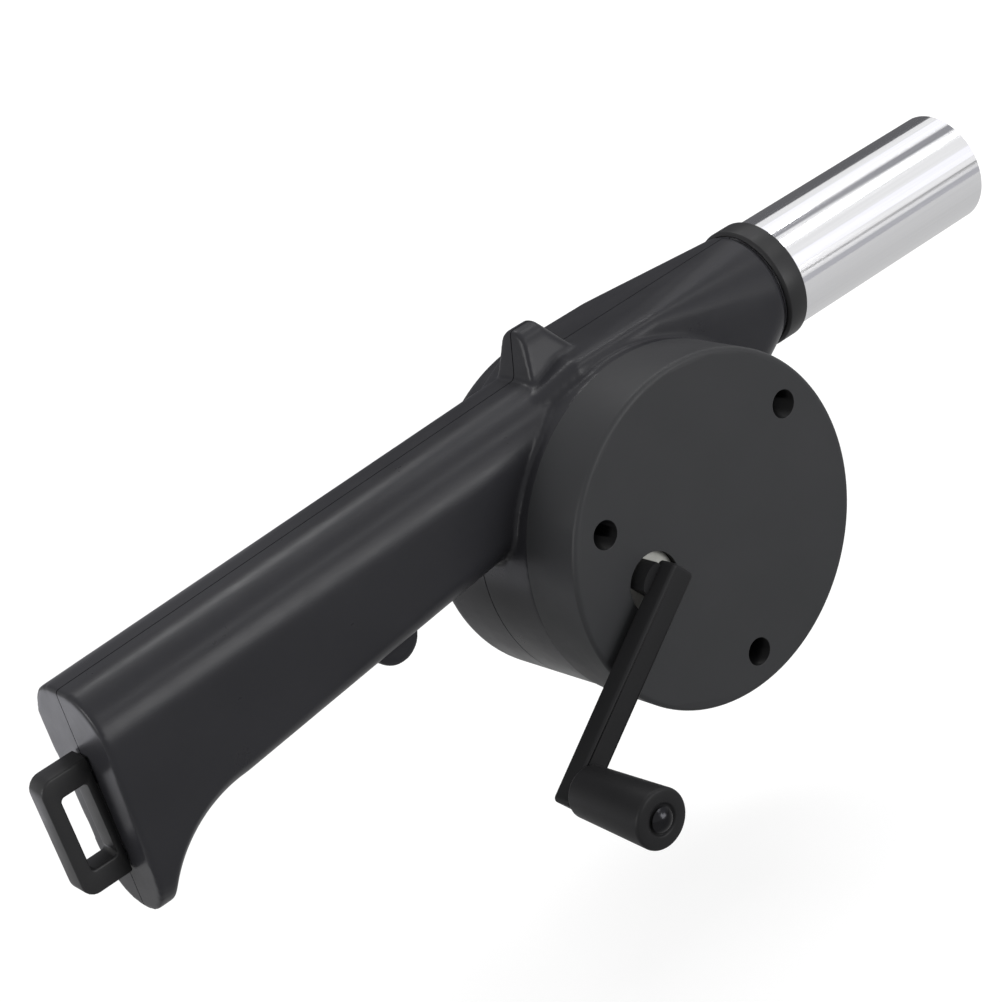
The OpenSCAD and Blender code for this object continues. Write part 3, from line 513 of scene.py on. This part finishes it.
def stopForm():
    c = casing
    half = c["stopWidth"] / 2
    at = (-c["stopAt"], 0, lowLine(-c["stopAt"]) + c["stopRadius"] - c["stopDrop"])
    bm = roundForm(c["stopRadius"], -half, half, alongY, at, segments=64)
    rims = [e for e in bm.edges if abs(e.verts[0].co.y - e.verts[1].co.y) < level]
    bmesh.ops.bevel(bm, geom=rims, offset=c["stopEdge"], segments=4, profile=0.5, affect="EDGES", material=-1)
    return bm


def casingSkin():
    c = casing
    outlet = (0, 0, c["ductRise"])
    handle = carve(objectFrom(handleForm(), "handleForm"), objectFrom(hollowForm(), "hollowForm"))
    for cutter in edgeCutters():
        carve(handle, objectFrom(cutter, "edgeCutter"))
    forms = {
        "drumForm": drumForm(),
        "ductForm": ductHull(c["ductWidth"], c["ductTop"], c["ductEndRadius"], c["ductEnd"], c["rampLength"]),
        "ridgeForm": ridgeHull(),
        "stopForm": stopForm(),
        "spigotForm": roundForm(c["spigotRadius"], c["spigotStart"], c["spigotEnd"], alongX, outlet,
                                segments=128),
    }
    for name, form in forms.items():
        carve(handle, objectFrom(form, name), "UNION")
    remesh = handle.modifiers.new("remesh", "REMESH")
    remesh.mode = "VOXEL"
    remesh.voxel_size = c["voxel"] * mm
    soft = handle.modifiers.new("soften", "SMOOTH")  # leaves the rounded edges and fillets of the moulding
    soft.factor = 0.5
    soft.iterations = c["smoothing"]
    baked(handle)
    print("casing skin:", len(handle.data.polygons), "faces")
    return handle


def casingHollows(skin):
    # the fan chamber, the way out through the duct and the tube's spigot, and the bush's boss
    c = casing
    over, wall, back = c["cutOver"], c["wall"], c["chamberBack"]
    outlet = (0, 0, c["ductRise"])
    chamber = roundForm(c["chamberRadius"], c["drumFront"] - over, back, alongY, segments=160)
    carve(skin, objectFrom(chamber, "chamber"))
    ductWay = ductHull(c["ductWidth"] - 2 * wall, c["ductTop"] - wall, c["ductEndRadius"] - wall,
                       c["ductEnd"] - over)
    carve(skin, objectFrom(ductWay, "ductWay"))
    bore = roundForm(c["boreRadius"], c["ductEnd"] - c["boreLap"], c["spigotEnd"] + over, alongX, outlet,
                     segments=128)
    carve(skin, objectFrom(bore, "bore"))
    boss = roundForm(c["bushBoss"], back - c["bossLength"], back + c["bossSink"], alongY, segments=64)
    carve(skin, objectFrom(boss, "bushBoss"), "UNION")
    return skin


def backCutters():
    # the air intake's ring of slots, and the casing screws' holes
    c = casing
    over, half = c["cutOver"], c["slotWidth"] / 2
    bm = bmesh.new()
    for i in range(c["slotCount"]):
        one = bmesh.new()
        box(one, (c["slotInner"], c["chamberBack"] - over, -half),
            (c["slotOuter"], c["drumBack"] + over, half))
        ends = [e for e in one.edges if abs(e.verts[0].co.y - e.verts[1].co.y) > 1]
        bmesh.ops.bevel(one, geom=ends, offset=c["slotWidth"] * c["slotRound"], segments=5, profile=0.5,
                        affect="EDGES", material=-1)
        one.transform(Matrix.Rotation(2 * math.pi * i / c["slotCount"], 4, "Y"))
        slot = meshFrom(one, "slot")
        bm.from_mesh(slot)
        bpy.data.meshes.remove(slot)
    for x in c["screwAt"]:
        at = (-x, 0, (topLine(-x) + lowLine(-x)) / 2 + c["screwRise"])
        cylinder(bm, c["screwHead"], c["screwSeat"], c["screwCut"], alongY, at, segments=48)
    return bm


def casingHalves():
    skin = casingHollows(casingSkin())
    carve(skin, objectFrom(backCutters(), "backCutters"))
    gap, (x, y, z) = casing["seamGap"], casing["halfBox"]
    halves = (("rightShellSkin", "right_shell", -y, -gap), ("leftShellSkin", "left_shell", gap, y))
    for name, node, low, high in halves:
        half = linked(name, skin.data.copy())
        keep = bmesh.new()
        box(keep, (-x, low, -z), (x, high, z))
        carve(half, objectFrom(keep, "half"), "INTERSECT")
        handIn(half, "casing", casingAbs, [node], angle=50)
    bpy.data.objects.remove(skin)


casingHalves()


# nozzle: a steel tube in a black collar

nozzle = {"start": 52.9, "end": 124.0, "radius": 14.0, "wall": 0.6, "lip": 0.25, "boreLip": 0.1, "rise": 30.0,
          "collarLength": 6.6, "collarRadius": 15.1, "collarEdge": 0.7, "collarGap": 0.04, "collarSoft": 0.3}


def nozzleTube():
    n = nozzle
    inner, outer, lip, end = n["radius"] - n["wall"], n["radius"], n["lip"], n["end"]
    profile = [(inner, n["start"]), (outer, n["start"]), (outer, end - lip), (outer - lip, end),
               (inner + n["boreLip"], end), (inner, end - n["boreLip"])]
    tube = objectFrom(turned(profile, alongX, (0, 0, n["rise"]), segments=192), "nozzleTubePolished")
    handIn(tube, "casing", tubeSteel, ["nozzle_tube"], angle=30)

    def inBore(face, at):
        return face.normal.y * at.y + face.normal.z * (at.z - n["rise"]) < 0

    return secondFinishOrPaintedShade(tube, tubeInside, inBore)  # the bore is left as drawn


def nozzleCollar():
    n = nozzle
    inner, outer, edge = n["radius"] + n["collarGap"], n["collarRadius"], n["collarEdge"]
    a, b = n["start"], n["start"] + n["collarLength"]
    profile = [(inner, a), (outer - edge, a), (outer, a + edge),
               (outer, b - edge), (outer - edge, b), (inner, b)]
    ring = objectFrom(turned(profile, alongX, (0, 0, n["rise"]), segments=160), "nozzleCollarRing")
    softenEdges(ring, n["collarSoft"], angle=25)
    return handIn(ring, "casing", collarAbs, ["nozzle_collar"], angle=30)


nozzleTube()
nozzleCollar()


# hanging loop: a flat ring whose tongue goes into the handle's end

loop = {"back": -155.379, "middle": 7.8, "height": 28.0, "thick": 6.0, "bar": 5.2, "outerBar": 3.4,
        "slot": 6.4, "corner": 3.2, "faceCorner": 0.4, "slotCorner": 1.0, "cornerSteps": 6, "edge": 0.5,
        "faceGap": 0.3, "tongue": 15.0, "tongueEnd": -138.4, "tongueLap": 0.5, "tongueInset": 0.2}


def roundedCorners(points, radii, steps):
    # an outline whose corners become arcs of so many steps
    out = []
    count = len(points)
    for i, (p, r) in enumerate(zip(points, radii)):
        here, before, after = Vector(p), Vector(points[i - 1]), Vector(points[(i + 1) % count])
        a, b = (before - here).normalized(), (after - here).normalized()
        reach = r / math.tan(a.angle(b) / 2)
        first, last = here + a * reach, here + b * reach
        middle = here + (a + b).normalized() * (r / math.sin(a.angle(b) / 2))
        for k in range(steps + 1):
            way = first.lerp(last, k / steps) - middle
            out.append(middle + way.normalized() * r)
    return out


def hangingLoop():
    q = loop
    steps, half, back = q["cornerSteps"], q["thick"] / 2, q["back"]
    low, high = q["middle"] - q["height"] / 2, q["middle"] + q["height"] / 2
    faceLow, faceHigh = [endLine(z) - q["faceGap"] for z in (low, high)]
    radii = [q["faceCorner"]] * 2 + [q["corner"]] * 2
    outer = roundedCorners([(faceLow, low), (faceHigh, high), (back, high), (back, low)], radii, steps)
    x0 = back + q["outerBar"]
    x1, z0, z1 = x0 + q["slot"], low + q["bar"], high - q["bar"]
    inner = roundedCorners([(x1, z0), (x1, z1), (x0, z1), (x0, z0)], [q["slotCorner"]] * 4, steps)
    bm = bmesh.new()
    for line in (outer, inner):
        closedLine(bm, [(p.x, -half, p.y) for p in line])
    bmesh.ops.bridge_loops(bm, edges=bm.edges[:])
    drawOut(bm, bm.faces[:], (0, 2 * half, 0))
    ring = softenEdges(objectFrom(bm, "hangingLoopRing"), q["edge"], angle=40)
    bm = bmesh.new()
    bm.from_mesh(ring.data)
    side, rise = half - q["tongueInset"], q["tongue"] / 2
    tongue = box(bm, (x1 + q["tongueLap"], -side, q["middle"] - rise),
                 (q["tongueEnd"], side, q["middle"] + rise))
    bmesh.ops.transform(bm, matrix=toFrame, verts=tongue)
    bm.to_mesh(ring.data)
    bm.free()
    return handIn(ring, "casing", collarAbs, ["hanging_loop"], angle=35)


hangingLoop()


# crank: the arm with its shaft, and the knob's grip

crank = {"edge": 0.8, "sharpFrom": 0.5, "throw": 47.5, "angle": 217.0, "axis": (-20.4, -1.7),
         "knobFront": -65.4, "knobBack": -41.4, "knobEnd": 6.8, "knobArm": 5.9, "knobEdge": 0.7,
         "knobEase": 0.3, "armEdge": 0.6, "dish": 3.7, "dishDepth": 0.5, "dishSlope": 0.4, "bore": 2.05,
         "knobSoft": 0.25}


def crankArm():
    # the CAD arm with its front rim rounded
    bm = cadCopy("crank_arm")
    front = min(v.co.y for v in bm.verts) + level * mm
    rim = [e for e in bm.edges if all(v.co.y < front for v in e.verts)
           and e.calc_face_angle(0) > crank["sharpFrom"]]
    bmesh.ops.bevel(bm, geom=rim, offset=crank["edge"] * mm, segments=4, profile=0.5,
                    affect="EDGES", material=-1)
    arm = linked("crankArmMoulded", meshFrom(bm, "crankArmMoulded"))
    return handIn(arm, "crank", crankAbs, ["crank_arm"], angle=40)


def knobGrip():
    k = crank
    turn = math.radians(k["angle"])
    at = (k["axis"][0] + k["throw"] * math.cos(turn), 0, k["axis"][1] + k["throw"] * math.sin(turn))
    end, arm, front, back = k["knobEnd"], k["knobArm"], k["knobFront"], k["knobBack"]
    edge, ease = k["knobEdge"], k["knobEdge"] * k["knobEase"]
    dish = front + k["dishDepth"]
    # lengths run along +Y, from the end face to the arm
    profile = [(k["bore"], dish), (k["dish"] - k["dishSlope"], dish), (k["dish"], front),
               (end - edge, front), (end - ease, front + ease), (end, front + edge),
               (arm, back - k["armEdge"]), (arm - k["armEdge"], back), (k["bore"], back)]
    grip = objectFrom(turned(profile, alongY, at), "knobGrip")
    softenEdges(grip, k["knobSoft"], angle=25)
    return handIn(grip, "knob", knobAbs, ["knob"], angle=30)


crankArm()
knobGrip()


# gear cover

cover = {"radius": 41.0, "face": -34.0, "solidRim": 2.0, "rim": 1.2, "faceEdge": 0.15, "boresWithin": 38.0}


def gearCover():
    # the CAD cup with a tighter rim, which comes nearer to the photograph's outline
    q = cover
    bm = cadCopy("gear_cover")
    share = q["rim"] / q["solidRim"]
    for v in bm.verts:
        at = (v.co - drumAxis) / mm
        away = math.hypot(at.x, at.z)
        out = away - (q["radius"] - q["solidRim"])
        ahead = at.y - (q["face"] + q["solidRim"])
        if out > -level and ahead < level:  # on the CAD rim's rounding
            wider = (q["radius"] - q["rim"] + out * share) / away
            v.co = drumAxis + mm * Vector((at.x * wider, q["face"] + q["rim"] + ahead * share, at.z * wider))
    front = drumAxis.y + (q["face"] + level) * mm
    flat = [f for f in bm.faces if f.normal.y < -0.999 and all(v.co.y < front for v in f.verts)]
    bmesh.ops.inset_region(bm, faces=flat, thickness=q["faceEdge"] * mm, use_even_offset=True)
    cup = linked("gearCoverCup", meshFrom(bm, "gearCoverCup"))
    handIn(cup, "casing", coverAbs, ["gear_cover"], angle=40)

    def inBore(face, at):
        return abs(face.normal.y) < 0.1 and math.hypot(at.x, at.z) < q["boresWithin"]

    return secondFinishOrPaintedShade(cup, borePaintedShadeAbs, inBore)  # painted shade: the bores' walls are coloured near black for the shade deep in them


gearCover()


# the CAD nodes that show as they are

finishes = {
    "gear_plate": nylonWithPaintedShade, "cover_screws": screwSteel, "shell_screws": screwSteel,
    "crank_gear": nylonWithPaintedShade, "knob_pin": pinSteel, "idler_gear": nylonWithPaintedShade, "idler_pin": screwSteel,
    "fan_pinion": bushBrass, "fan_shaft": screwSteel, "impeller": fanAbs, "thrust_washers": bushBrass,
    "plate_bush": bushBrass, "rear_bush": bushBrass,
}
for node, finish in finishes.items():
    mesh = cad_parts[node].data
    mesh.materials.clear()
    mesh.materials.append(finish)
print("CAD nodes finished:", len(finishes))


# stage, light and camera, in m

stage = {"floorDrop": 0.045, "floorSize": 6.0, "floorTone": 0.40, "floorRough": 0.9, "floorGlow": (0.66, 1.0),
         "glowFrom": 0.30, "glowTo": 0.95, "worldAmbient": 0.30, "worldInGloss": 0.85, "floorInGloss": 0.25}
lights = {
    "overhead": {"at": (0.31, 0.29, 0.88), "aim": (-0.10, 0.0, 0.0), "size": (0.9, 0.20), "power": 5.5},
    "overShoulder": {"at": (0.28, -0.54, 0.70), "aim": (-0.13, 0.0, 0.0), "size": (0.9, 0.16), "power": 1.9},
    "rearLeft": {"at": (-1.05, 0.10, 0.26), "aim": (-0.26, 0.0, -0.02), "size": (0.5, 0.36), "power": 5.0},
    "front": {"at": (0.30, -1.15, 0.22), "aim": (-0.13, 0.0, -0.03), "size": (0.7, 0.6), "power": 10.5},
}
# cards that only gloss sees: from and to in degrees round the tube's axis, from +Y over +Z,
# and widen in degrees for each m along it
cards = {
    "behind": {"from": -20, "to": 42, "reach": 0.5, "widen": 0, "tone": 0.13, "span": (0.0, 0.6)},
    "behindHandle": {"from": -5, "to": 42, "reach": 0.5, "widen": 0, "tone": 0.40, "span": (-0.40, 0.0)},
    "rearGlare": {"from": 60, "to": 82, "reach": 0.5, "widen": 0, "tone": 1.1, "span": (0.0, 0.6)},
    "overTop": {"from": 87, "to": 95, "reach": 0.5, "widen": 35, "tone": 0.30, "span": (0.0, 0.6)},
    "frontGlare": {"from": 148, "to": 170, "reach": 0.5, "widen": 0, "tone": 1.08, "span": (0.0, 0.6)},
    "before": {"from": 194, "to": 205, "reach": 0.25, "widen": 0, "tone": 0.46, "span": (0.0, 0.6)},
}
cardMake = {"along": 3, "round": 8, "widenFrom": 0.2, "blue": 1.06}
reflector = {"at": (-0.47, 0.37), "lift": 0.002, "size": 0.36, "tone": 1.75}
cameraView = {"at": (-0.42296, -0.43345, 0.21489), "forward": (0.48174, 0.77629, -0.40657), "roll": 18.716,
              "lens": 89.82, "sensor": 36, "clip": 0.01}
floorHeight = cadBox[0][2] - stage["floorDrop"]


def pointAt(obj, direction, roll=0.0):
    turn = Vector(direction).to_track_quat("-Z", "Y").to_matrix().to_4x4()
    obj.matrix_world = Matrix.Translation(obj.location) @ turn @ Matrix.Rotation(math.radians(roll), 4, "Z")


def addLights():
    for name, spec in lights.items():
        lamp = bpy.data.lights.new(name, "AREA")
        lamp.shape = "RECTANGLE"
        lamp.size, lamp.size_y = spec["size"]
        lamp.energy = spec["power"]
        obj = linked(name, lamp)
        obj.location = spec["at"]
        pointAt(obj, Vector(spec["aim"]) - Vector(spec["at"]))


def seenDirectly(tree, inGloss):
    # 1 for rays from the camera and through glass, a share of it for rays from gloss
    path = addNode(tree, "ShaderNodeLightPath")
    gloss = addNode(tree, "ShaderNodeMath", {"operation": "MULTIPLY"},
                    {0: path.outputs["Is Glossy Ray"], 1: inGloss})
    most = addNode(tree, "ShaderNodeMath", {"operation": "MAXIMUM"},
                   {0: path.outputs["Is Camera Ray"], 1: gloss.outputs[0]})
    seen = addNode(tree, "ShaderNodeMath", {"operation": "MAXIMUM"},
                   {0: most.outputs[0], 1: path.outputs["Is Transmission Ray"]})
    return seen.outputs[0]


def addWorld():
    world = bpy.data.worlds.new("studio")
    world.use_nodes = True
    tree = world.node_tree
    ground = tree.nodes["Background"]
    ground.inputs["Color"].default_value = (1, 1, 1, 1)
    strength = addNode(tree, "ShaderNodeMapRange", None,
                       {"Value": seenDirectly(tree, stage["worldInGloss"]),
                        "To Min": stage["worldAmbient"], "To Max": 1.0})
    tree.links.new(strength.outputs["Result"], ground.inputs["Strength"])
    bpy.context.scene.world = world


def addFloor():
    # pale paper that keeps the object's shadow
    s = stage
    bm = bmesh.new()
    bmesh.ops.create_grid(bm, x_segments=1, y_segments=1, size=s["floorSize"] / 2)
    floor = linked("floor", meshFrom(bm, "floor"))
    floor.location = (drumAxis.x, 0, floorHeight)
    mat, tree, shader, place = startMaterial("palePaper")
    shader.inputs["Base Color"].default_value = [s["floorTone"]] * 3 + [1]
    shader.inputs["Roughness"].default_value = s["floorRough"]
    shader.inputs["Specular IOR Level"].default_value = 0.0
    shader.inputs["Emission Color"].default_value = (1, 1, 1, 1)
    # the paper runs out to white, and is less so under the object, where its shadow falls
    away = addNode(tree, "ShaderNodeVectorMath", {"operation": "LENGTH"}, {0: place})
    run = addNode(tree, "ShaderNodeMapRange", None,
                  {"Value": away.outputs["Value"], "From Min": s["glowFrom"], "From Max": s["glowTo"],
                   "To Min": s["floorGlow"][0], "To Max": s["floorGlow"][1]})
    glow = addNode(tree, "ShaderNodeMath", {"operation": "MULTIPLY"},
                   {0: seenDirectly(tree, s["floorInGloss"]), 1: run.outputs["Result"]})
    tree.links.new(glow.outputs[0], shader.inputs["Emission Strength"])
    floor.data.materials.append(mat)


def glowingCard(bm, name, tone):
    # a card of an even tone that only gloss sees
    card = linked(name, meshFrom(bm, name))
    mat = bpy.data.materials.new(name)
    mat.use_nodes = True
    shader = mat.node_tree.nodes["Principled BSDF"]
    shader.inputs["Base Color"].default_value = (0, 0, 0, 1)
    shader.inputs["Specular IOR Level"].default_value = 0.0
    shader.inputs["Emission Color"].default_value = (tone, tone, tone * cardMake["blue"], 1)
    shader.inputs["Emission Strength"].default_value = 1.0
    card.data.materials.append(mat)
    card.visible_camera = False
    card.visible_diffuse = False
    card.visible_shadow = False


def addCards():
    # strips of a wide cylinder round the tube, so that each shows as one band along it
    for name, spec in cards.items():
        low, high = spec["span"]
        bm = bmesh.new()
        bmesh.ops.create_grid(bm, x_segments=cardMake["along"], y_segments=cardMake["round"], size=0.5)
        for v in bm.verts:  # the flat grid is bent round the tube's axis
            x = low + (v.co.x + 0.5) * (high - low)
            last = spec["to"] + spec["widen"] * (x - cardMake["widenFrom"])
            turn = math.radians(spec["from"] + (last - spec["from"]) * (v.co.y + 0.5))
            v.co = (x, spec["reach"] * math.cos(turn), spec["reach"] * math.sin(turn))
        glowingCard(bm, name + "Card", spec["tone"])


def addReflector():
    # a white card on the floor behind the handle's end, seen only in its gloss
    r = reflector
    bm = bmesh.new()
    place = Matrix.Translation((*r["at"], floorHeight + r["lift"]))
    bmesh.ops.create_grid(bm, x_segments=1, y_segments=1, size=r["size"] / 2, matrix=place)
    glowingCard(bm, "reflector", r["tone"])


def addCamera():
    c = cameraView
    cam = bpy.data.cameras.new("photoCamera")
    cam.sensor_width = c["sensor"]
    cam.lens = c["lens"]
    cam.clip_start = c["clip"]
    obj = linked("photoCamera", cam)
    obj.location = c["at"]
    pointAt(obj, c["forward"], -c["roll"])
    bpy.context.scene.camera = obj


addLights()
addWorld()
addFloor()
addCards()
addReflector()
addCamera()
bpy.context.scene.view_settings.view_transform = "Standard"
print("stage set:", len(lights), "lights,", len(cards) + 1, "cards")
